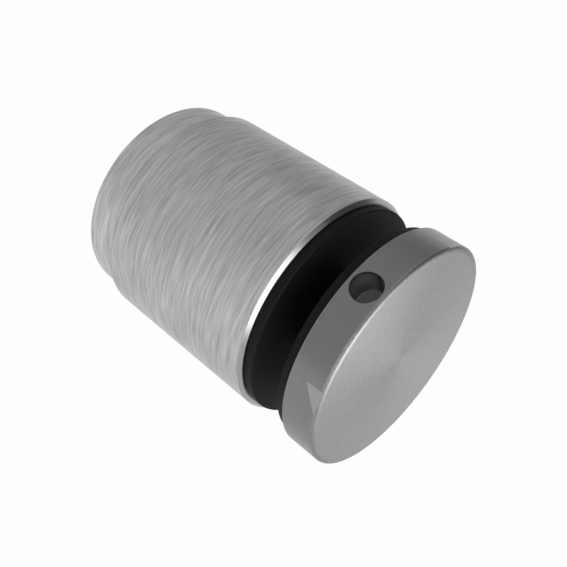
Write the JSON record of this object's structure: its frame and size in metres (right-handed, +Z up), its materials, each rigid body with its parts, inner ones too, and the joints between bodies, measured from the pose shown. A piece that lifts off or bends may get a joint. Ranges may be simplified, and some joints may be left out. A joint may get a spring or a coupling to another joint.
{
  "type": "adjustable glass panel standoff",
  "caption": "Round stainless standoff that bolts to a wall, screws in and out to set its reach, and clamps a drilled glass panel under a round cap.",
  "frame": {"origin": "centre of the wall face, where the wall bolt's axis meets the wall", "axes": "+Y into the wall along the standoff's axis, -Y out towards the cap, +Z up"},
  "size_m": [0.05, 0.0687, 0.05],
  "materials": {
    "base_steel": "brushed round the axis",
    "sleeve_steel": "brushed round the axis",
    "cap_steel": "fine turned face, smooth satin rim",
    "stud_steel": "plain rolled thread",
    "screw_steel": "plain",
    "gasket_rubber": "matt black",
    "bush_nylon": "matt black"
  },
  "bodies": {
    "wall_base": {"wall_base": "base_steel"},
    "glass_seat": {"body_gasket": "gasket_rubber", "glass_bush": "bush_nylon"},
    "sleeve": {"sleeve": "sleeve_steel", "lock_screw": "screw_steel"},
    "cap_seat": {"cap_gasket": "gasket_rubber"},
    "cap": {"cap": "cap_steel", "stud": "stud_steel"}
  },
  "joints": [
    {"name": "sleeve_travel", "type": "slide", "parent": "wall_base", "child": "glass_seat", "axis": [0, -1, 0], "range_m": [-0.005, 0.005]},
    {"name": "sleeve_turn", "type": "hinge", "parent": "glass_seat", "child": "sleeve", "pos_m": [0, -0.03, 0], "axis": [0, -1, 0], "range_deg": [-1200, 1200]},
    {"name": "cap_travel", "type": "slide", "parent": "sleeve", "child": "cap_seat", "axis": [0, -1, 0], "range_m": [0, 0.0105]},
    {"name": "cap_turn", "type": "hinge", "parent": "cap_seat", "child": "cap", "pos_m": [0, -0.06, 0], "axis": [0, -1, 0], "range_deg": [0, 2160]}
  ],
  "couplings": [
    {"joint": "sleeve_travel", "follows": "sleeve_turn", "m_per_rad": 0.00023873},
    {"joint": "cap_travel", "follows": "cap_turn", "m_per_rad": 0.00027852}
  ]
}
